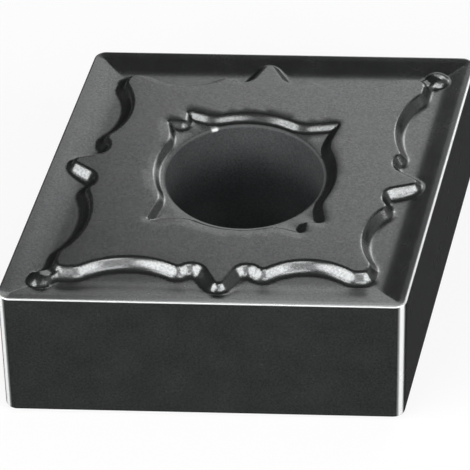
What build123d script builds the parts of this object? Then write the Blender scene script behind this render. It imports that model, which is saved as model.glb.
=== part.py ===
"""Turning insert: an 80 degree rhombic plate with a moulded chip breaker on both faces and a clamping bore.

The body is the same above and below its middle plane and on both sides of each of its diagonals.
So one face is modelled and mirrored, and its outlines are drawn for one cutting edge and mirrored.
"""

import os
from math import cos, radians, sin, tan

from build123d import *

# Sizes are in millimetres and angles in degrees.

# Plate
inscribed_circle = 12.7
corner_angle = 80.0
edge_to_edge = 4.76
corner_radius = 0.4
edge_hone = 0.06

# Clamping bore
bore_diameter = 5.16
bore_edge_chamfer = 0.1

# Section of the chip breaker, inward from the cutting edge
land_width = 0.25
land_angle = 4.0
rake_angle = 13.0
floor_depth = 0.20
floor_blend_radius = 2.0

# Raised seat, which carries the insert when the other face cuts
seat_rise = 0.15
seat_wall_draft = 42.0
seat_edge_chamfer = 0.04

# Outline of the seat along one cutting edge, from the acute corner and inward from the edge
cusp_inset = 1.45
cusp_radius = 0.1
acute_end_radius = 0.35
obtuse_end_radius = 0.38
scallop_inset = 1.97
long_scallop_place = 4.15
long_scallop_radius = 2.9
short_scallop_place = 9.80
short_scallop_radius = 2.2
bowl_inset = 1.72
bowl_radius = 0.5
finger_place = 7.0
finger_inset = 0.73
finger_tip_radius = 0.13
finger_half_angle = 26.5

# Chip curling bead in front of each acute end of the seat
bead_from_corner = 1.73
bead_radius = 0.60
bead_rise = 0.10
neck_width = 0.32
neck_depth = 0.02

# Shallow recess round the bore, with one ear at each acute side and two at each obtuse side
recess_depth = 0.20
recess_draft = 45.0
recess_border = 0.40
acute_ear_length = 1.06
acute_ear_spread = 16.0
obtuse_ear_length = 0.72
obtuse_ear_spread = 18.0
obtuse_ear_tip_offset = 0.42
obtuse_notch_depth = 0.45

half_angle = corner_angle / 2
inradius = inscribed_circle / 2
edge_level = edge_to_edge / 2
seat_level = edge_level + seat_rise
floor_level = edge_level - floor_depth
recess_level = seat_level - recess_depth
acute_reach = inradius / sin(radians(half_angle))
obtuse_reach = inradius / cos(radians(half_angle))
recess_radius = bore_diameter / 2 + recess_border
acute_ear_reach = recess_radius + acute_ear_length
obtuse_ear_reach = recess_radius + obtuse_ear_length


def level(height):
    """Level plane with its X axis along the long diagonal and its Y axis along the short one."""
    return Plane.XY.offset(height).rotated((0, 0, half_angle))


def by_edge(along, inward):
    """Place a distance along one cutting edge from its acute corner, and inward from that edge."""
    forward, across = cos(radians(half_angle)), sin(radians(half_angle))
    return (acute_reach - along * forward - inward * across, along * across - inward * forward)


def at_angle(reach, angle):
    """Place at a distance from the bore axis, turned from the long diagonal."""
    return (reach * cos(radians(angle)), reach * sin(radians(angle)))


def rhombus(inset):
    """Outline of the plate moved inward, with sharp corners."""
    share = 1 - inset / inradius
    corners = [
        (acute_reach * share, 0),
        (0, obtuse_reach * share),
        (-acute_reach * share, 0),
        (0, -obtuse_reach * share),
    ]
    with BuildSketch() as outline:
        with BuildLine():
            Polyline(*corners, close=True)
        make_face()
    return outline.sketch


def on_four_edges():
    """Repeat what is sketched for one cutting edge at the other three."""
    mirror(about=Plane.XZ)
    mirror(about=Plane.YZ)


with BuildSketch(level(0)) as plate_outline:
    add(rhombus(0))
    fillet(plate_outline.vertices(), corner_radius)

# The land, rake and floor of two opposite cutting edges make one channel across the plate.
# Crossed with its mirror image it becomes the dish, and the four rakes mitre by themselves.
land_drop = land_width * tan(radians(land_angle))
rake_width = (floor_depth - land_drop) / tan(radians(rake_angle))
with BuildPart() as dish:
    with BuildSketch(Plane.YZ) as channel:
        with BuildLine():
            Polyline(
                (0, floor_level),
                (inradius - land_width - rake_width, floor_level),
                (inradius - land_width, edge_level - land_drop),
                (inradius, edge_level),
                (inradius, seat_level),
                (0, seat_level),
            )
            mirror(about=Plane.YZ)
        make_face()
        floor_corners = channel.vertices().group_by(Axis.Y)[0].sort_by(Axis.X)
        fillet([floor_corners[0], floor_corners[-1]], floor_blend_radius)
    extrude(amount=acute_reach, both=True)
    mirror(about=Plane.YZ.rotated((0, 0, half_angle)), mode=Mode.INTERSECT)

# The seat outline is a rhombus with scallops and bowls cut from its sides and a finger left between.
finger_sine, finger_cosine = sin(radians(finger_half_angle)), cos(radians(finger_half_angle))
finger_apex = finger_inset - finger_tip_radius * (1 / finger_sine - 1)
bowl_centre = bowl_inset - bowl_radius
bowl_spread = (bowl_radius + (bowl_centre - finger_apex) * finger_sine) / finger_cosine
finger_root = (bowl_inset - finger_apex) * finger_sine / finger_cosine
with BuildSketch() as side_cuts:
    with Locations(by_edge(long_scallop_place, scallop_inset - long_scallop_radius)):
        Circle(long_scallop_radius)
    with Locations(by_edge(short_scallop_place, scallop_inset - short_scallop_radius)):
        Circle(short_scallop_radius)
    with Locations(
        by_edge(finger_place - bowl_spread, bowl_centre), by_edge(finger_place + bowl_spread, bowl_centre)
    ):
        Circle(bowl_radius)
    on_four_edges()
with BuildSketch() as fingers:
    with BuildLine():
        Polyline(
            by_edge(finger_place - finger_root, bowl_inset),
            by_edge(finger_place, finger_apex),
            by_edge(finger_place + finger_root, bowl_inset),
            close=True,
        )
    make_face()
    fillet(fingers.vertices().sort_by_distance(by_edge(finger_place, finger_apex))[0], finger_tip_radius)
    on_four_edges()
seat_wall_run = (seat_rise + floor_depth) * tan(radians(seat_wall_draft))
with BuildSketch(level(floor_level)) as seat_foot:
    add(rhombus(cusp_inset))
    acute_ends = seat_foot.vertices().group_by(Axis.X)
    fillet(acute_ends[0] + acute_ends[-1], acute_end_radius)
    obtuse_ends = seat_foot.vertices().group_by(Axis.Y)
    fillet(obtuse_ends[0] + obtuse_ends[-1], obtuse_end_radius)
    add(side_cuts.sketch, mode=Mode.SUBTRACT)
    add(fingers.sketch)
    offset(amount=-cusp_radius, mode=Mode.REPLACE)
    offset(amount=cusp_radius + seat_wall_run, mode=Mode.REPLACE)

with BuildSketch(level(seat_level)) as recess_rim:
    with BuildLine():
        Polyline(
            (acute_ear_reach, 0),
            at_angle(recess_radius, acute_ear_spread),
            at_angle(recess_radius, 90 - obtuse_ear_spread),
            (obtuse_ear_tip_offset, obtuse_ear_reach),
            (0, obtuse_ear_reach - obtuse_notch_depth),
            (0, 0),
            close=True,
        )
    make_face()
    on_four_edges()
    Circle(recess_radius)

# Beads and necks stand on the floor in front of the acute ends of the seat
bead_place = acute_reach - bead_from_corner
bead_top = edge_level + bead_rise
neck_height = floor_depth - neck_depth
neck_run = neck_height * tan(radians(seat_wall_draft))
with BuildSketch(level(floor_level)) as neck_foot:
    Rectangle(2 * bead_place, neck_width + 2 * neck_run)

with BuildPart() as insert_body:
    extrude(plate_outline.sketch, amount=edge_level)
    add(dish.part, mode=Mode.SUBTRACT)
    cutting_edges = insert_body.edges().filter_by_position(Axis.Z, edge_level - land_drop / 2, edge_level)
    fillet(cutting_edges, edge_hone)
    extrude(neck_foot.sketch, amount=neck_height, taper=seat_wall_draft)
    extrude(seat_foot.sketch, amount=seat_level - floor_level, taper=seat_wall_draft)
    with Locations(level(bead_top - bead_radius)):
        with Locations((bead_place, 0), (-bead_place, 0)):
            Sphere(bead_radius)
    chamfer(insert_body.faces().sort_by(Axis.Z)[-1].outer_wire().edges(), seat_edge_chamfer)
    extrude(recess_rim.sketch, amount=-recess_depth, taper=recess_draft, mode=Mode.SUBTRACT)
    Hole(bore_diameter / 2)
    bore_mouth = insert_body.edges(Select.LAST).filter_by(GeomType.CIRCLE).sort_by(Axis.Z)[-1]
    chamfer(bore_mouth, bore_edge_chamfer)
    mirror(about=Plane.XY)

os.makedirs("parts", exist_ok=True)
insert_body.part.label = "insert_body"
export_step(insert_body.part, "parts/insert_body.step")
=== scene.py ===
"""Looks of a rhombic turning insert: the fine form of its chip breaker, its dark coating and a studio.

The insert's faces are alike and each is the same in all four quarters of its diagonals. So the upper
face is worked out as heights over the plate, with x along the long diagonal, and then turned into
the shared frame and mirrored for the lower face.
"""

from math import cos, pi, radians, sin, tan

import bpy
import numpy as np
from mathutils import Matrix, Vector
from mathutils.geometry import delaunay_2d_cdt


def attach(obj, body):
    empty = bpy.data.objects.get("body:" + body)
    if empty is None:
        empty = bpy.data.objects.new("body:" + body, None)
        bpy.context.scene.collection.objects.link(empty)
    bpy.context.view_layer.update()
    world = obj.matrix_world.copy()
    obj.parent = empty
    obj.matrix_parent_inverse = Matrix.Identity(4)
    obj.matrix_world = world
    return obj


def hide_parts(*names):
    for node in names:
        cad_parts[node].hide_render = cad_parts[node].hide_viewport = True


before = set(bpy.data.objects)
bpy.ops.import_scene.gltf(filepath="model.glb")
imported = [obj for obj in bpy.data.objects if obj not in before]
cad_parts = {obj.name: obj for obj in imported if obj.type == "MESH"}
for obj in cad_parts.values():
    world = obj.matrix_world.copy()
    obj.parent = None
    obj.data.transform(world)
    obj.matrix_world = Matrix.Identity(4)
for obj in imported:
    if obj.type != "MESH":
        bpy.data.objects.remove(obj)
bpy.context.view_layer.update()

# Sizes are in millimetres. Levels are counted from the middle of the plate, and the heights of the
# dish, seat, bead, neck and recess from the cutting edge.
MM = 0.001

# Plate and bore
HALF_ANGLE = radians(40.0)
INRADIUS = 6.35
EDGE_LEVEL = 2.38
CORNER_RADIUS = 0.4
HONE = 0.06
BORE_RADIUS = 2.58
BORE_ROUNDING = 0.1
ACUTE_REACH = INRADIUS / sin(HALF_ANGLE)
OBTUSE_REACH = INRADIUS / cos(HALF_ANGLE)

# Dish
LAND_WIDTH = 0.25
LAND_SLOPE = tan(radians(8.5))
RAKE_SLOPE = tan(radians(13.0))
LAND_BLEND = 0.006
FLOOR = -0.20
FLOOR_BLEND = 0.055
VALLEY_BLEND = 0.03

# Seat. A scallop is its place along the edge, its centre inward of the edge, and its radius.
SEAT = 0.15
SEAT_WALL = tan(radians(38.0))
SEAT_EDGE_BLEND = 0.08
SEAT_FOOT_BLEND = 0.15
CUSP_INSET = 1.45
CUSP_RADIUS = 0.18
END_BEND_RADIUS = 0.45
ACUTE_END_RADIUS = 0.60
OBTUSE_END_RADIUS = 0.38
LONG_SCALLOP = (4.15, -0.93, 2.9)
SHORT_SCALLOP = (9.80, -0.23, 2.2)
BOWL_INSET = 1.72
BOWL_RADIUS = 0.5
FINGER_PLACE = 7.0
FINGER_INSET = 0.78
FINGER_TIP_RADIUS = 0.17
FINGER_HALF_ANGLE = radians(26.5)

# Bead and its neck. Where the neck has ended, its height is far below everything else.
BEAD_PLACE = ACUTE_REACH - 1.73
BEAD_RADIUS = 0.40
BEAD_TOP = 0.06
BEAD_BLEND = 0.20
NECK_HALF_WIDTH = 0.16
NECK_TOP = -0.01
NECK_EDGE_BLEND = 0.05
NECK_BLEND = 0.16
NO_NECK = -1.0

# Recess
RECESS_RADIUS = 2.98
RECESS_FLOOR = -0.08
RECESS_WALL = tan(radians(45.0))
RECESS_EDGE_BLEND = 0.07
RECESS_FOOT_BLEND = 0.06
ACUTE_EAR_REACH = 4.04
ACUTE_EAR_SPREAD = radians(13.5)
OBTUSE_EAR_REACH = 3.70
OBTUSE_EAR_SPREAD = radians(18.0)
OBTUSE_EAR_TIP = 0.42
NOTCH_REACH = 3.25
EAR_BEND_RADIUS = 0.9
EAR_TIP_RADIUS = 0.13
NOTCH_RADIUS = 0.10

# Rings of mesh points: outward of the seat's and the recess's outlines, round the middle of the
# bead, inward of the rim, and beside the valleys between the rakes
SEAT_RINGS = (0, 0.02, -0.02, 0.05, 0.09, 0.14, 0.19, 0.24, 0.29, 0.34, 0.39, 0.45, -0.05, -0.10)
RECESS_RINGS = (0, 0.02, -0.02, 0.05, -0.06, -0.10, -0.14, -0.17, -0.20, -0.24, -0.30)
BEAD_RINGS = (0.001, 0.08, 0.16, 0.24, 0.31, 0.37, 0.42, 0.46, 0.50, 0.54, 0.59, 0.65)
RIM_RINGS = (0.09, 0.16, 0.22, 0.25, 0.28, 0.36, 0.5, 0.66, 0.8, 0.9, 1.0, 1.1, 1.2, 1.32)
VALLEY_LINES = (0.0, 0.02, -0.02, 0.045, -0.045)
ROUNDING_TURNS = np.linspace(0, pi / 2, 6)

# Spacing of the mesh points
OUTLINE_STEP = 0.02
MIRROR_MARGIN = 0.05
RING_STEP = 0.04
RING_TOLERANCE = 0.004
RIM_STEP = 0.15
LEAST_CORNER_RADIUS = 0.03
ACUTE_STEPS = 12
OBTUSE_STEPS = 10
BORE_POINTS = 240
BEAD_POINTS_PER_MM = 60
NECK_STEP = 0.045
NECK_LENGTH = 0.95
NECK_REACH = 0.36
VALLEY_START = 0.35
VALLEY_LENGTH = 1.35
FINE_GAP = 0.016
FINE_CLEARANCE = 0.012
FILL_GAP = 0.14
MERGE_DISTANCE = 1e-7
FILL_FROM_RIM = 0.2
FILL_FROM_BORE = 0.3
FILL_STEPS = (0.3, 0.26)
FILL_REACHES = (9, 7.5)
WALL_DROPS = (0.05, 0.15)
BORE_MIDDLE_DROP = 0.4
BORE_MIDDLE_RINGS = 11

# Zones of the coating, and the painted shade deep in the bore: where each one starts and where it is full
MOULDED_INWARD = (0.02, 0.06)
BORE_FROM_AXIS = (BORE_RADIUS + BORE_ROUNDING, BORE_RADIUS + 0.04)
# Painted shade: the bore darkens from this distance off the middle level, and is full at this one
BORE_SHADE_LEVEL = (2.0, 0.1)

# Wear and painted light on the edges: a pale rub on the hone and down the corners, partly wear and partly
# painted highlight, full only at the front and right; painted sheen on the front land and the bore's mouth;
# and a painted glint on the mouth. Where each kind starts and where it is full, by distance from the edge,
# corner or bore and by level, and how strong it is
LIT_SIDE_REACH = (0.6, 0.2)
UNLIT_SIDE_SHARE = 0.05
HONE_INWARD = (0.072, 0.048)
HONE_LEVEL = (EDGE_LEVEL - 0.055, EDGE_LEVEL - 0.035)
CORNER_INWARD = (0.04, 0.01)
CORNER_BESIDE = (0.14, 0.05)
LAND_INWARD = (0.28, 0.18)
LAND_REACH = (0.6, 0.3)
LAND_LEVEL = EDGE_LEVEL - 0.05
LAND_SHEEN = 0.09
MOUTH_LEVEL = EDGE_LEVEL + RECESS_FLOOR
MOUTH_FROM_BORE = (0.09, 0.06)
MOUTH_EDGE_LEVEL = (MOUTH_LEVEL - 0.07, MOUTH_LEVEL - 0.045)
MOUTH_SHEEN = 0.03
# A painted glint on the bore's mouth: its place, and where it starts and is full by distance and by level
GLINT_PLACE = (-1.10, 2.40)
GLINT_DISTANCE = (0.14, 0.08)
GLINT_LEVEL = (MOUTH_LEVEL - 0.10, MOUTH_LEVEL - 0.05)

# Coating, dark and light grain of each zone: moulded face, ground side, bore, and the darker bore colour at
# depth, which is painted shade
PRESSED = ((0.077, 0.080, 0.081, 1), (0.137, 0.141, 0.141, 1))
GROUND = ((0.0158, 0.0166, 0.0166, 1), (0.0325, 0.0338, 0.0338, 1))
BORE = ((0.048, 0.050, 0.051, 1), (0.080, 0.084, 0.085, 1))
SHADED_BORE = ((0.020, 0.022, 0.023, 1), (0.034, 0.037, 0.038, 1))
# Pale colour of the rub on the edges, partly wear and partly painted highlight, and of the painted sheen and
# glint
PALE_WEAR_AND_HIGHLIGHT = (0.75, 0.76, 0.76, 1)
SPECULAR_TINT = (0.08, 0.08, 0.08, 1)
GRAIN_SCALE = 14000.0
MOTTLE_SCALE = 900.0
GRAIN_CONTRAST = 1.4
MOTTLE_CONTRAST = 0.45
TONE_RANGE = (0.1, 0.9)
ROUGHNESS = 0.26
MOTTLE_ROUGHNESS = 0.10
BORE_ROUGHNESS = 0.3
GROUND_METAL = 0.4
MOULDED_METAL = 0.53
COAT = 0.75
COAT_ROUGHNESS = 0.22
BUMP_STRENGTH = 0.02
BUMP_DISTANCE = 0.00001

# Lamps: name, azimuth (0 in front, 90 on the right) and elevation in degrees, width and height in
# metres, and brightness
LAMPS = (
    ("back_panel", 160, 24, 0.105, 0.101, 1.46),
    ("low_back_panel", 188, 11, 0.020, 0.040, 1.15),
    ("back_right_softbox", 147, 23, 0.032, 0.036, 3.4),
    ("right_fill", 108, 22, 0.090, 0.070, 0.26),
    ("front_left_softbox", -48, 30, 0.122, 0.050, 6.8),
    ("front_right_softbox", 55, 30, 0.092, 0.050, 6.4),
    ("front_panel", 6, 30, 0.126, 0.050, 1.5),
    ("upper_left_softbox", -62, 50, 0.052, 0.020, 6.0),
    ("upper_right_softbox", 22, 50, 0.070, 0.020, 6.0),
)

# Studio, in metres and degrees
LAMP_DISTANCE = 0.12
WHITE = (1, 1, 1, 1)
PAPER = (0.8, 0.8, 0.8, 1)
FLOOR_GLOW = 0.85
FLOOR_REACH = 1.5
FLOOR_GAP = 0.000005
ROOM_LIGHT = 0.04
CAMERA_ELEVATION = 40.8
CAMERA_AZIMUTH = -3.79
CAMERA_ROLL = 1.34
CAMERA_DISTANCE = 0.11941
CAMERA_RIGHT = -0.000309
CAMERA_DOWN = 0.001994
CAMERA_LENS = 280.49
SENSOR_WIDTH = 36.0
CLIP_START = 0.01


def soft_low(a, b, blend):
    """The lower of two heights, with the corner between them rounded."""
    close = np.maximum(blend - np.abs(a - b), 0.0)
    return np.minimum(a, b) - close * close / (4 * blend)


def soft_high(a, b, blend):
    """The higher of two heights, with the corner between them rounded."""
    return -soft_low(-a, -b, blend)


def by_edge(along, inward):
    """Place a distance along one cutting edge from its acute corner, and inward from that edge."""
    along, inward = np.asarray(along), np.asarray(inward)
    x = ACUTE_REACH - along * cos(HALF_ANGLE) - inward * sin(HALF_ANGLE)
    y = along * sin(HALF_ANGLE) - inward * cos(HALF_ANGLE)
    return np.stack([x, y], axis=-1)


def arc_by_edge(circle, start, end, steps=24):
    """Arc of a circle in the edge's own coordinates, between two turns in radians."""
    turn = np.linspace(start, end, steps + 1)
    return by_edge(circle[0] + circle[2] * np.cos(turn), circle[1] + circle[2] * np.sin(turn))


def circles_meet(first, second):
    """The one of two circles' meeting places that lies deeper inward."""
    a, b = np.array(first[:2]), np.array(second[:2])
    gap = np.linalg.norm(b - a)
    run = (gap * gap + first[2] ** 2 - second[2] ** 2) / (2 * gap)
    rise = np.sqrt(first[2] ** 2 - run * run)
    forward = (b - a) / gap
    sideways = np.array([-forward[1], forward[0]])
    meets = [a + forward * run + sideways * rise, a + forward * run - sideways * rise]
    return max(meets, key=lambda place: place[1])


def turn_to(circle, place):
    """Turn from a circle's centre to a place, in radians."""
    return float(np.arctan2(place[1] - circle[1], place[0] - circle[0]))


def seat_legs():
    """Legs of the seat outline along one cutting edge, each with the rounding of the corner after it."""
    sine, cosine = sin(FINGER_HALF_ANGLE), cos(FINGER_HALF_ANGLE)
    apex = FINGER_INSET - FINGER_TIP_RADIUS * (1 / sine - 1)
    bowl_centre = BOWL_INSET - BOWL_RADIUS
    spread = (BOWL_RADIUS + (bowl_centre - apex) * sine) / cosine
    bowl_a = (FINGER_PLACE - spread, bowl_centre, BOWL_RADIUS)
    bowl_b = (FINGER_PLACE + spread, bowl_centre, BOWL_RADIUS)
    cusp_a, cusp_b = circles_meet(LONG_SCALLOP, bowl_a), circles_meet(SHORT_SCALLOP, bowl_b)
    share = 1 - CUSP_INSET / INRADIUS
    acute_end, obtuse_end = (ACUTE_REACH * share, 0.0), (0.0, OBTUSE_REACH * share)
    long_half = np.sqrt(LONG_SCALLOP[2] ** 2 - (CUSP_INSET - LONG_SCALLOP[1]) ** 2)
    short_half = np.sqrt(SHORT_SCALLOP[2] ** 2 - (CUSP_INSET - SHORT_SCALLOP[1]) ** 2)
    long_start = (LONG_SCALLOP[0] - long_half, CUSP_INSET)
    short_end = (SHORT_SCALLOP[0] + short_half, CUSP_INSET)
    foot_a = (bowl_a[0] + BOWL_RADIUS * cosine, bowl_a[1] + BOWL_RADIUS * sine)
    foot_b = (bowl_b[0] - BOWL_RADIUS * cosine, foot_a[1])
    tip = by_edge(FINGER_PLACE, apex)
    long_arc = arc_by_edge(LONG_SCALLOP, turn_to(LONG_SCALLOP, long_start), turn_to(LONG_SCALLOP, cusp_a))
    short_arc = arc_by_edge(SHORT_SCALLOP, turn_to(SHORT_SCALLOP, cusp_b), turn_to(SHORT_SCALLOP, short_end))
    return [
        (np.array([acute_end, by_edge(*long_start)]), END_BEND_RADIUS),
        (long_arc, CUSP_RADIUS),
        (arc_by_edge(bowl_a, turn_to(bowl_a, cusp_a), FINGER_HALF_ANGLE), 0.0),
        (np.array([by_edge(*foot_a), tip]), FINGER_TIP_RADIUS),
        (np.array([tip, by_edge(*foot_b)]), 0.0),
        (arc_by_edge(bowl_b, pi - FINGER_HALF_ANGLE, turn_to(bowl_b, cusp_b)), CUSP_RADIUS),
        (short_arc, END_BEND_RADIUS),
        (np.array([by_edge(*short_end), obtuse_end]), OBTUSE_END_RADIUS),
    ]


def recess_legs():
    """Legs of the recess outline in one quarter, from the acute ear to the notch."""

    def rim(turn):
        """Places on the recess's round part."""
        return np.array([RECESS_RADIUS * np.cos(turn), RECESS_RADIUS * np.sin(turn)]).T

    start, end = ACUTE_EAR_SPREAD, pi / 2 - OBTUSE_EAR_SPREAD
    tip = (OBTUSE_EAR_TIP, OBTUSE_EAR_REACH)
    return [
        (np.array([(ACUTE_EAR_REACH, 0.0), rim(start)]), EAR_BEND_RADIUS),
        (rim(np.linspace(start, end, 40)), EAR_BEND_RADIUS),
        (np.array([rim(end), tip]), EAR_TIP_RADIUS),
        (np.array([tip, (0.0, NOTCH_REACH)]), NOTCH_RADIUS),
    ]


def whole_outline(quarter, first_rounding):
    """Close a quarter's legs into the whole outline by its two mirror lines, and round every corner."""

    def mirrored(legs, scale, rounding_before):
        """The legs in the next quarter, which run the other way."""
        roundings = [rounding_before] + [leg[1] for leg in legs[:-1]]
        return [(leg[0][::-1] * scale, rounding) for leg, rounding in zip(legs[::-1], roundings[::-1])]

    legs = list(quarter)
    legs += mirrored(quarter, (-1, 1), first_rounding)
    legs += [(points * (-1, -1), rounding) for points, rounding in quarter]
    legs += mirrored(quarter, (1, -1), first_rounding)
    return rounded(legs)


def cut_back(points, length):
    """Shorten a leg at its end by a length."""
    steps = np.linalg.norm(np.diff(points, axis=0), axis=1)
    travelled = np.concatenate([[0.0], np.cumsum(steps)])
    stop = max(travelled[-1] - length, travelled[-1] * 0.5)
    kept = points[travelled < stop]
    end = [np.interp(stop, travelled, points[:, axis]) for axis in (0, 1)]
    return np.vstack([kept, end])


def rounded(legs, steps=8):
    """Join the legs into one closed line whose corners are arcs."""
    trimmed = []
    for index, (points, rounding) in enumerate(legs):
        following = legs[(index + 1) % len(legs)][0]
        arriving = (points[-1] - points[-2]) / np.linalg.norm(points[-1] - points[-2])
        leaving = (following[1] - following[0]) / np.linalg.norm(following[1] - following[0])
        turn = np.arccos(np.clip(arriving @ leaving, -1, 1))
        trimmed.append((rounding * np.tan(turn / 2), cos(turn / 2), points[-1]))
    line = []
    for index, (points, _) in enumerate(legs):
        before, after = trimmed[index - 1][0], trimmed[index]
        leg = cut_back(points, after[0]) if after[0] > 0 else points
        leg = cut_back(leg[::-1], before)[::-1] if before > 0 else leg
        line.append(leg)
    closed = []
    for index, leg in enumerate(line):
        closed.append(leg[:-1])
        length, weight, corner = trimmed[index]
        following = line[(index + 1) % len(line)]
        if length > 0:
            t = np.linspace(0, 1, steps + 1)[:-1, None]
            shares = ((1 - t) ** 2, 2 * weight * t * (1 - t), t**2)
            blend = shares[0] * leg[-1] + shares[1] * corner + shares[2] * following[0]
            closed.append(blend / sum(shares))
    return evenly(np.vstack(closed), OUTLINE_STEP)


def evenly(line, spacing):
    """The same closed line with its points at even distances."""
    loop = np.vstack([line, line[:1]])
    travelled = np.concatenate([[0.0], np.cumsum(np.linalg.norm(np.diff(loop, axis=0), axis=1))])
    count = int(round(travelled[-1] / spacing))
    places = np.linspace(0, travelled[-1], count, endpoint=False)
    return np.stack([np.interp(places, travelled, loop[:, axis]) for axis in (0, 1)], axis=-1)


def outward_distance(places, outline, block=1500):
    """Distance of each place from a closed outline, negative inside it. Works in one quarter by symmetry."""
    a = outline
    b = np.roll(outline, -1, axis=0)
    near = (np.minimum(a, b) > -MIRROR_MARGIN).all(axis=1)
    a, b = a[near], b[near]
    along = b - a
    length2 = (along**2).sum(axis=1)
    folded = np.abs(places)
    result = np.empty(len(folded))
    for start in range(0, len(folded), block):
        p = folded[start:start + block]
        offset = p[:, None, :] - a[None]
        share = np.clip((offset * along).sum(axis=2) / length2, 0, 1)
        gap = offset - share[..., None] * along
        distance2 = (gap**2).sum(axis=2)
        nearest = distance2.argmin(axis=1)
        rows = np.arange(len(p))
        side = along[nearest, 0] * offset[rows, nearest, 1] - along[nearest, 1] * offset[rows, nearest, 0]
        result[start:start + block] = np.sqrt(distance2[rows, nearest]) * np.where(side > 0, -1, 1)
    return result


def rim_distance(places):
    """Distance inward from the rounded rim of the plate."""
    inset = INRADIUS - CORNER_RADIUS
    x, y = np.abs(places[:, 0]), np.abs(places[:, 1])
    soft_x, soft_y = np.sqrt(x * x + VALLEY_BLEND**2), np.sqrt(y * y + VALLEY_BLEND**2)
    flat = INRADIUS - (soft_x * sin(HALF_ANGLE) + soft_y * cos(HALF_ANGLE))
    acute, obtuse = inset / sin(HALF_ANGLE), inset / cos(HALF_ANGLE)
    along = (acute - x) * cos(HALF_ANGLE) + y * sin(HALF_ANGLE)
    edge_length = np.hypot(acute, obtuse)
    flat = np.where(along < 0, CORNER_RADIUS - np.hypot(x - acute, y), flat)
    return np.where(along > edge_length, CORNER_RADIUS - np.hypot(x, y - obtuse), flat)


def surface_height(places, seat_outline, recess_outline):
    """Height of the upper face above its cutting edge, without the hone and the bore's rounding."""
    inward = rim_distance(places)
    rake = -LAND_WIDTH * LAND_SLOPE - (inward - LAND_WIDTH) * RAKE_SLOPE
    height = soft_low(-inward * LAND_SLOPE, rake, LAND_BLEND)
    height = soft_high(height, np.full(len(places), FLOOR), FLOOR_BLEND)
    outward = outward_distance(places, seat_outline)
    wall = soft_low(np.full(len(places), SEAT), SEAT - outward / SEAT_WALL, SEAT_EDGE_BLEND)
    from_bead = np.hypot(np.abs(places[:, 0]) - BEAD_PLACE, places[:, 1])
    bead = BEAD_TOP - BEAD_RADIUS + np.sqrt(np.maximum(BEAD_RADIUS**2 - from_bead**2, 1e-9))
    side = soft_high(np.abs(places[:, 1]) - NECK_HALF_WIDTH, np.zeros(len(places)), NECK_EDGE_BLEND)
    neck = NECK_TOP - side / SEAT_WALL
    neck = np.where(np.abs(places[:, 0]) < BEAD_PLACE, neck, NO_NECK)
    height = soft_high(height, neck, NECK_BLEND)
    height = soft_high(height, bead, BEAD_BLEND)
    height = soft_high(height, wall, SEAT_FOOT_BLEND)
    inside = -outward_distance(places, recess_outline)
    recess = soft_high(SEAT - inside / RECESS_WALL, np.full(len(places), RECESS_FLOOR), RECESS_FOOT_BLEND)
    return np.minimum(soft_low(height, recess, RECESS_EDGE_BLEND), SEAT)


def offset_ring(outline, distance, spacing):
    """Points at one distance outward of a closed outline."""
    ahead, behind = np.roll(outline, -1, axis=0), np.roll(outline, 1, axis=0)
    tangent = ahead - behind
    tangent /= np.linalg.norm(tangent, axis=1)[:, None]
    outward = np.stack([tangent[:, 1], -tangent[:, 0]], axis=-1)
    ring = outline + outward * distance
    keep = max(int(round(spacing / OUTLINE_STEP)), 1)
    ring = ring[::keep]
    true = outward_distance(ring, outline)
    return ring[np.abs(true - distance) < RING_TOLERANCE]


def rim_ring(inward):
    """The plate's rounded rim moved inward."""
    radius = max(CORNER_RADIUS - inward, LEAST_CORNER_RADIUS)
    inset = INRADIUS - inward - radius
    acute, obtuse = inset / sin(HALF_ANGLE), inset / cos(HALF_ANGLE)
    corners = [((acute, 0), 0.0), ((0, obtuse), pi / 2), ((-acute, 0), pi), ((0, -obtuse), 3 * pi / 2)]
    ring = []
    for index, ((x, y), facing) in enumerate(corners):
        sweep = pi / 2 - HALF_ANGLE if index % 2 == 0 else HALF_ANGLE
        steps = ACUTE_STEPS if index % 2 == 0 else OBTUSE_STEPS
        turn = facing + np.linspace(-sweep, sweep, steps + 1)
        arc = np.stack([x + radius * np.cos(turn), y + radius * np.sin(turn)], axis=-1)
        ring.append(arc)
        (next_x, next_y), next_facing = corners[(index + 1) % 4]
        next_sweep = pi / 2 - HALF_ANGLE if index % 2 == 1 else HALF_ANGLE
        first = next_facing - next_sweep
        end = np.array([next_x + radius * np.cos(first), next_y + radius * np.sin(first)])
        count = int(round(INRADIUS * 2 / RIM_STEP))
        share = np.linspace(0, 1, count + 1)[1:-1, None]
        ring.append(arc[-1] * (1 - share) + end * share)
    return np.vstack(ring)


def circle_points(centre, radius, count):
    """Points at even distances round a circle."""
    turn = np.linspace(0, 2 * pi, count, endpoint=False)
    return np.stack([centre[0] + radius * np.cos(turn), centre[1] + radius * np.sin(turn)], axis=-1)


def thinned(fixed, loose, gap):
    """Leave out loose points that lie closer than a gap to a fixed or an earlier one."""
    cells = {}
    kept = []

    def crowded(place):
        """Whether a stored point lies closer than the gap."""
        column, row = int(place[0] // gap), int(place[1] // gap)
        for i in (-1, 0, 1):
            for j in (-1, 0, 1):
                for other in cells.get((column + i, row + j), ()):
                    if (other[0] - place[0]) ** 2 + (other[1] - place[1]) ** 2 < gap * gap:
                        return True
        return False

    def store(place):
        """Keep a point in its cell."""
        cells.setdefault((int(place[0] // gap), int(place[1] // gap)), []).append(place)

    for place in fixed:
        store(place)
    for place in loose:
        if not crowded(place):
            store(place)
            kept.append(place)
    return np.array(kept)


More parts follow.
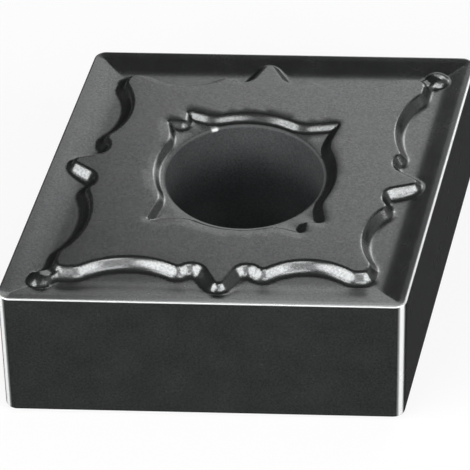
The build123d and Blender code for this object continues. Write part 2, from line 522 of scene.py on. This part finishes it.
def loose_points(seat_outline, recess_outline):
    """Points that follow the forms of the face closely, the most telling ones first."""
    loose = [offset_ring(seat_outline, distance, RING_STEP) for distance in SEAT_RINGS]
    loose += [offset_ring(recess_outline, distance, RING_STEP) for distance in RECESS_RINGS]
    for side in (-1, 1):
        for radius in BEAD_RINGS:
            count = max(int(radius * BEAD_POINTS_PER_MM), 1)
            loose.append(circle_points((side * BEAD_PLACE, 0), radius, count))
    along_neck = np.arange(BEAD_PLACE - NECK_LENGTH, BEAD_PLACE, NECK_STEP)
    across_neck = np.arange(-NECK_REACH, NECK_REACH + NECK_STEP / 2, NECK_STEP)
    neck_x, neck_y = np.meshgrid(along_neck, across_neck)
    neck = np.stack([neck_x.ravel(), neck_y.ravel()], axis=-1)
    loose += [neck, neck * (-1, 1)]
    loose += [rim_ring(inward) for inward in RIM_RINGS]
    valley = np.arange(0, VALLEY_LENGTH, RING_STEP)
    for reach, axis in ((ACUTE_REACH, 0), (OBTUSE_REACH, 1)):
        for beside in VALLEY_LINES:
            for side in (-1, 1):
                line = np.zeros((len(valley), 2))
                line[:, axis] = side * (reach - VALLEY_START - valley)
                line[:, 1 - axis] = beside
                loose.append(line)
    return np.vstack(loose)


def fill_points():
    """A coarse staggered grid for the flat stretches."""
    ranges = [np.arange(-reach, reach, step) for reach, step in zip(FILL_REACHES, FILL_STEPS)]
    fill_x, fill_y = np.meshgrid(*ranges)
    fill_x[::2] += FILL_STEPS[0] / 2
    return np.stack([fill_x.ravel(), fill_y.ravel()], axis=-1)


def within(places, from_rim, from_bore):
    """The places that keep a distance from the rim and from the bore."""
    clear_of_bore = np.hypot(places[:, 0], places[:, 1]) > BORE_RADIUS + from_bore
    return places[(rim_distance(places) > from_rim) & clear_of_bore]


def face_mesh():
    """Upper face: its places, heights and triangles, and the loops of its rim and of its bore."""
    seat_outline = whole_outline(seat_legs(), ACUTE_END_RADIUS)
    recess_outline = whole_outline(recess_legs(), EAR_TIP_RADIUS)
    shares = [(1 - cos(turn), 1 - sin(turn)) for turn in ROUNDING_TURNS]
    hone_rings = [(HONE * out, -HONE * down) for out, down in shares]
    mouth_rings = [(BORE_ROUNDING * out, -BORE_ROUNDING * down) for out, down in shares]
    rim_points = len(rim_ring(0.0))
    fixed = [rim_ring(inward) for inward, _ in hone_rings]
    fixed += [circle_points((0, 0), BORE_RADIUS + inward, BORE_POINTS) for inward, _ in mouth_rings]
    rings = np.vstack(fixed)
    fine = thinned(rings, loose_points(seat_outline, recess_outline), FINE_GAP)
    fine = within(fine, HONE + FINE_CLEARANCE, BORE_ROUNDING + FINE_CLEARANCE)
    fill = within(fill_points(), FILL_FROM_RIM, FILL_FROM_BORE)
    fill = thinned(np.vstack([rings, fine]), fill, FILL_GAP)
    places = np.vstack([rings, fine, fill])
    bore_start = rim_points * len(hone_rings)
    rim_loop = np.arange(rim_points)
    bore_loop = bore_start + np.arange(BORE_POINTS)
    constraints = []
    for loop in (rim_loop, bore_loop):
        constraints += [(int(first), int(second)) for first, second in zip(loop, np.roll(loop, -1))]
    found = delaunay_2d_cdt([Vector(place) for place in places], constraints, [], 1, MERGE_DISTANCE)
    spots = np.array([tuple(spot) for spot in found[0]])
    source = [origin[0] if origin else -1 for origin in found[3]]
    height = surface_height(spots, seat_outline, recess_outline)
    ring_level = np.full(len(places), np.nan)
    for index, (inward, drop) in enumerate(hone_rings):
        ring_level[index * rim_points:(index + 1) * rim_points] = drop - inward * LAND_SLOPE
    for index, (_, drop) in enumerate(mouth_rings):
        start = bore_start + index * BORE_POINTS
        ring_level[start:start + BORE_POINTS] = RECESS_FLOOR + drop
    for index, origin in enumerate(source):
        if origin >= 0 and not np.isnan(ring_level[origin]):
            height[index] = ring_level[origin]
    index_of = {origin: index for index, origin in enumerate(source) if origin >= 0}
    # A triangle between neighbours on the bore's ring has its middle just inside that ring
    centres = np.array([spots[list(face)].mean(axis=0) for face in found[2]])
    outside_bore = np.hypot(centres[:, 0], centres[:, 1]) > BORE_RADIUS * 0.9999
    triangles = [tuple(face) for face, kept in zip(found[2], outside_bore) if kept]
    return spots, height, triangles, [index_of[i] for i in rim_loop], [index_of[i] for i in bore_loop]


def step_between(value, low, high):
    """How far a value has come from low to high, from 0 to 1, eased at both ends."""
    share = np.clip((value - low) / (high - low), 0, 1)
    return share * share * (3 - 2 * share)


def wear_and_highlight(vertices, inward, flat):
    """How far the coating is painted pale: on the hone and down the corners, partly wear and partly painted
    highlight that is full only at the front and right, with painted sheen on the front land and the bore's
    mouth and a painted glint on the mouth.
    """
    level = vertices[:, 2]
    lean = pi / 2 - 2 * HALF_ANGLE
    to_front = INRADIUS + vertices[:, 1]
    to_right = INRADIUS - vertices[:, 0] * cos(lean) + vertices[:, 1] * sin(lean)
    # Painted highlight: the rub is full only near the front and right edges, and faint elsewhere
    lit_side = step_between(np.minimum(to_front, to_right), *LIT_SIDE_REACH)
    on_hone = step_between(inward, *HONE_INWARD) * step_between(level, *HONE_LEVEL)
    x, y = np.abs(flat[:, 0]), np.abs(flat[:, 1])
    beside_corner = np.where(x > y, y, x)
    on_corner = step_between(inward, *CORNER_INWARD) * step_between(beside_corner, *CORNER_BESIDE)
    on_land = step_between(inward, *LAND_INWARD) * step_between(to_front, *LAND_REACH)
    from_bore = np.hypot(vertices[:, 0], vertices[:, 1]) - BORE_RADIUS
    on_mouth = step_between(from_bore, *MOUTH_FROM_BORE) * step_between(level, *MOUTH_EDGE_LEVEL)
    from_glint = np.hypot(vertices[:, 0] - GLINT_PLACE[0], vertices[:, 1] - GLINT_PLACE[1])
    shares = [
        np.maximum(on_hone, on_corner) * (UNLIT_SIDE_SHARE + (1 - UNLIT_SIDE_SHARE) * lit_side),
        # Painted sheen on the front land
        on_land * (level > LAND_LEVEL) * LAND_SHEEN,
        # Painted sheen on the bore's rounded mouth
        on_mouth * MOUTH_SHEEN,
        # Painted glint: a pale spot on the bore's mouth
        step_between(from_glint, *GLINT_DISTANCE) * step_between(level, *GLINT_LEVEL),
    ]
    return np.maximum.reduce(shares)


def zones(vertices, turn):
    """What the coating's material needs to know of each vertex."""
    flat = vertices[:, :2] @ turn.T
    inward = rim_distance(flat)
    from_axis = np.hypot(vertices[:, 0], vertices[:, 1])
    in_bore = step_between(from_axis, *BORE_FROM_AXIS)
    return {
        "moulded": step_between(inward, *MOULDED_INWARD),
        "in_bore": in_bore,
        # Painted shade: darker deep in the bore
        "bore_shade": in_bore * step_between(np.abs(vertices[:, 2]), *BORE_SHADE_LEVEL),
        # Pale rub on the edges: partly wear, partly painted highlight, sheen and glint
        "wear_and_highlight": wear_and_highlight(vertices, inward, flat),
    }


def wall_levels(top, middle):
    """Levels of the rings down a wall: two near each of its ends, and others in the middle."""
    ends = [top - drop for drop in WALL_DROPS]
    return [*ends, *middle, *[-level for level in reversed(ends)]]


def build_insert():
    """The whole insert as one closed mesh: both faces, the sides and the bore."""
    spots, height, triangles, rim, bore = face_mesh()
    turn = np.array([[cos(HALF_ANGLE), sin(HALF_ANGLE)], [-sin(HALF_ANGLE), cos(HALF_ANGLE)]])
    top = np.column_stack([spots @ turn, EDGE_LEVEL + height])
    vertices = [top, top * (1, 1, -1)]
    count = len(top)
    faces = triangles + [tuple(count + i for i in face[::-1]) for face in triangles]

    def wall(loop, levels, outside):
        """Join a loop of the upper face to its mirror image through rings at some levels."""
        layers = [list(loop)]
        for level in levels:
            start = sum(len(part) for part in vertices)
            vertices.append(np.column_stack([top[loop][:, :2], np.full(len(loop), level)]))
            layers.append(list(range(start, start + len(loop))))
        layers.append([count + i for i in loop])
        for upper_ring, lower_ring in zip(layers, layers[1:]):
            for a, b in zip(range(len(loop)), [*range(1, len(loop)), 0]):
                face = (upper_ring[a], lower_ring[a], lower_ring[b], upper_ring[b])
                faces.append(face if outside else face[::-1])

    bore_top = MOUTH_LEVEL - BORE_ROUNDING
    bore_start = bore_top - BORE_MIDDLE_DROP
    wall(rim, wall_levels(EDGE_LEVEL - HONE, [0.0]), True)
    wall(bore, wall_levels(bore_top, np.linspace(bore_start, -bore_start, BORE_MIDDLE_RINGS)), False)
    places = np.vstack(vertices)
    mesh = bpy.data.meshes.new("insert_surface")
    mesh.from_pydata((places * MM).tolist(), [], faces)
    for name, values in zones(places, turn).items():
        zone = mesh.attributes.new(name, "FLOAT", "POINT")
        zone.data.foreach_set("value", values)
    mesh.validate()
    mesh.shade_smooth()
    piece = bpy.data.objects.new("insert_surface", mesh)
    bpy.context.scene.collection.objects.link(piece)
    return piece


class Socket:
    """A shader socket that takes part in ordinary arithmetic."""

    def __init__(self, tree, link):
        self.tree, self.link = tree, link

    def maths(self, operation, *others):
        """Put the value through one maths operation with the others."""
        values = [self.link] + [other.link if isinstance(other, Socket) else other for other in others]
        return node(self.tree, "ShaderNodeMath", {"operation": operation}, dict(enumerate(values)))

    def __add__(self, other):
        return self.maths("ADD", other)

    def __mul__(self, other):
        return self.maths("MULTIPLY", other)

    def __sub__(self, other):
        return self.maths("SUBTRACT", other)

    def __rsub__(self, other):
        return node(self.tree, "ShaderNodeMath", {"operation": "SUBTRACT"}, {0: other, 1: self})

    __radd__, __rmul__ = __add__, __mul__

    def between(self, low, high):
        """How far the value has come from low to high, from 0 to 1, eased at both ends."""
        inputs = {"Value": self, "From Min": low, "From Max": high}
        return node(self.tree, "ShaderNodeMapRange", {"interpolation_type": "SMOOTHSTEP"}, inputs)


def node(tree, kind, settings=None, inputs=None, output=0):
    """Add a node: its settings first, then values or links on its sockets. Gives one output."""
    made = tree.nodes.new(kind)
    for name, value in (settings or {}).items():
        setattr(made, name, value)
    for key, value in (inputs or {}).items():
        value = value.link if isinstance(value, Socket) else value
        if isinstance(value, bpy.types.NodeSocket):
            tree.links.new(value, made.inputs[key])
        else:
            made.inputs[key].default_value = value
    return Socket(tree, made.outputs[output])


def coated_carbide():
    """Dark satin wear coating over sintered grain, with painted shade deep in the bore, and pale wear,
    painted highlight, sheen and glint on the edges.
    """
    material = bpy.data.materials.new("coated_carbide")
    material.use_nodes = True
    tree = material.node_tree
    shader = tree.nodes["Principled BSDF"]
    place = node(tree, "ShaderNodeTexCoord", output="Object")

    def noise(scale, roughness):
        """Noise fixed to the object, finer for a higher scale."""
        inputs = {"Vector": place, "Scale": scale, "Detail": 3.0, "Roughness": roughness}
        return node(tree, "ShaderNodeTexNoise", None, inputs)

    def zone(name):
        """How much of a zone the mesh carries."""
        return node(tree, "ShaderNodeAttribute", {"attribute_name": name}, output="Fac")

    def mixed(share, first, second):
        """Colour between two. The colour sockets of a mix node go by number."""
        inputs = {"Factor": share, 6: first, 7: second}
        return node(tree, "ShaderNodeMix", {"data_type": "RGBA"}, inputs, output=2)

    grain, mottle = noise(GRAIN_SCALE, 0.6), noise(MOTTLE_SCALE, 0.55)
    moulded, in_bore, pale_wear_and_highlight, bore_shade = zone("moulded"), zone("in_bore"), zone("wear_and_highlight"), zone("bore_shade")
    tone = (grain - 0.5) * GRAIN_CONTRAST + (mottle - 0.5) * MOTTLE_CONTRAST + 0.5
    tone = tone.between(*TONE_RANGE)
    colour = mixed(moulded, mixed(tone, *GROUND), mixed(tone, *PRESSED))
    colour = mixed(in_bore, colour, mixed(tone, *BORE))
    # Painted shade: the bore's colour darkens towards its middle depth
    colour = mixed(bore_shade, colour, mixed(tone, *SHADED_BORE))
    # Pale rub on the edges: partly wear, partly painted highlight, sheen and glint
    colour = mixed(pale_wear_and_highlight, colour, PALE_WEAR_AND_HIGHLIGHT)
    bump = {"Strength": BUMP_STRENGTH, "Distance": BUMP_DISTANCE, "Height": grain}
    varying = {
        "Base Color": colour,
        "Roughness": ROUGHNESS + (mottle - 0.5) * MOTTLE_ROUGHNESS + in_bore * BORE_ROUGHNESS,
        "Metallic": (moulded * MOULDED_METAL + GROUND_METAL) * (1.0 - in_bore),
        "Coat Weight": moulded * (1.0 - in_bore) * COAT,
        "Normal": node(tree, "ShaderNodeBump", None, bump),
    }
    for name, value in varying.items():
        tree.links.new(value.link, shader.inputs[name])
    shader.inputs["Coat Roughness"].default_value = COAT_ROUGHNESS
    shader.inputs["Specular IOR Level"].default_value = 0.0
    shader.inputs["Specular Tint"].default_value = SPECULAR_TINT
    return material


def build_lamp(name, azimuth, elevation, width, height, brightness):
    """Area lamp of an even brightness, aimed at the insert."""
    lamp = bpy.data.lights.new(name, "AREA")
    lamp.shape = "RECTANGLE"
    lamp.size, lamp.size_y = width, height
    lamp.energy = brightness * width * height * pi
    piece = bpy.data.objects.new(name, lamp)
    turn, rise = radians(azimuth), radians(elevation)
    away = Vector((sin(turn) * cos(rise), -cos(turn) * cos(rise), sin(rise)))
    piece.location = away * LAMP_DISTANCE
    piece.rotation_euler = away.to_track_quat("Z", "Y").to_euler()
    bpy.context.scene.collection.objects.link(piece)


def pale_floor():
    """White paper that keeps the object's shadow, and mostly glows white where it is seen."""
    material = bpy.data.materials.new("pale_floor")
    material.use_nodes = True
    tree = material.node_tree
    tree.nodes.remove(tree.nodes["Principled BSDF"])
    seen = node(tree, "ShaderNodeLightPath", output="Is Camera Ray")
    mirrored = node(tree, "ShaderNodeLightPath", output="Is Glossy Ray")
    through = node(tree, "ShaderNodeLightPath", output="Is Transmission Ray")
    paper = node(tree, "ShaderNodeBsdfDiffuse", None, {"Color": PAPER})
    glow = node(tree, "ShaderNodeEmission", None, {"Color": WHITE, "Strength": 1.0})
    share = seen.maths("MAXIMUM", mirrored).maths("MAXIMUM", through) * FLOOR_GLOW
    mix = node(tree, "ShaderNodeMixShader", None, {0: share, 1: paper, 2: glow})
    tree.links.new(mix.link, tree.nodes["Material Output"].inputs["Surface"])
    return material


def build_studio():
    """Floor a hair below the lower seat, a dim room and the lamps."""
    bottom = -(EDGE_LEVEL + SEAT) * MM - FLOOR_GAP
    corners = [(x * FLOOR_REACH, y * FLOOR_REACH, bottom) for x, y in ((-1, -1), (1, -1), (1, 1), (-1, 1))]
    floor_mesh = bpy.data.meshes.new("floor")
    floor_mesh.from_pydata(corners, [], [(0, 1, 2, 3)])
    floor_mesh.materials.append(pale_floor())
    floor = bpy.data.objects.new("floor", floor_mesh)
    bpy.context.scene.collection.objects.link(floor)
    world = bpy.data.worlds.new("studio")
    bpy.context.scene.world = world
    world.use_nodes = True
    tree = world.node_tree
    dim = node(tree, "ShaderNodeBackground", None, {"Color": WHITE, "Strength": ROOM_LIGHT})
    tree.links.new(dim.link, tree.nodes["World Output"].inputs["Surface"])
    for lamp in LAMPS:
        build_lamp(*lamp)


def build_camera():
    """Camera above the front edge, aimed a little aside and below the middle of the upper face."""
    elevation, azimuth, roll = radians(CAMERA_ELEVATION), radians(CAMERA_AZIMUTH), radians(CAMERA_ROLL)
    ahead = Vector((sin(azimuth) * cos(elevation), cos(azimuth) * cos(elevation), -sin(elevation)))
    right = Vector((cos(azimuth), -sin(azimuth), 0))
    down = ahead.cross(right)
    turned_right = right * cos(roll) + down * sin(roll)
    turned_down = down * cos(roll) - right * sin(roll)
    centre = Vector((0, 0, EDGE_LEVEL * MM))
    target = centre + turned_right * CAMERA_RIGHT + turned_down * CAMERA_DOWN
    lens = bpy.data.cameras.new("camera")
    lens.lens = CAMERA_LENS
    lens.sensor_width = SENSOR_WIDTH
    lens.clip_start = CLIP_START
    camera = bpy.data.objects.new("camera", lens)
    camera.location = target - ahead * CAMERA_DISTANCE
    camera.rotation_euler = Matrix((turned_right, -turned_down, -ahead)).transposed().to_euler()
    bpy.context.scene.collection.objects.link(camera)
    bpy.context.scene.camera = camera


bpy.context.scene.view_settings.view_transform = "Standard"
build_camera()
insert_surface = build_insert()
insert_surface.data.materials.append(coated_carbide())
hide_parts("insert_body")
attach(insert_surface, "root")
build_studio()
